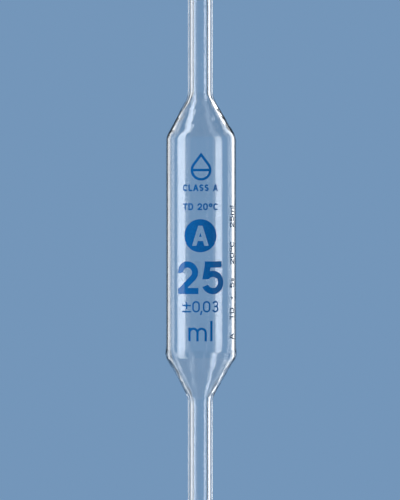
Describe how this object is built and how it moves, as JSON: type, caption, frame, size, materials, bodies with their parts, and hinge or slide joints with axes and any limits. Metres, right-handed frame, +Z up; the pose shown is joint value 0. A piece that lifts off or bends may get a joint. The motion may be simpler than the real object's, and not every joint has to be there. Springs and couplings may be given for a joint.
{
  "type": "volumetric pipette",
  "caption": "Glass volumetric pipette: a cylindrical bulb between a suction tube and a jetted delivery tube, with a ring mark and blue enamel print.",
  "frame": {"origin": "centre of the orifice at the lowest point of the jet, on the pipette's axis", "axes": "+Z up along the axis from the jet to the mouth of the suction tube; the print faces -Y, +X is to the right of a person who reads it"},
  "size_m": [0.021, 0.021, 0.52],
  "materials": {
    "glass": "polished clear",
    "enamel": "fired enamel, slightly glossy"
  },
  "bodies": {
    "root": {"delivery_jet": "glass", "delivery_tube": "glass", "lower_shoulder": "glass", "bulb_barrel": "glass", "upper_shoulder": "glass", "suction_tube": "glass", "ring_mark": "enamel", "colour_code_band": "enamel", "emblem_print": "enamel", "class_line": "enamel", "delivery_line": "enamel", "roundel": "enamel", "capacity_numerals": "enamel", "tolerance_line": "enamel", "unit_print": "enamel", "side_line": "enamel"}
  },
  "joints": []
}
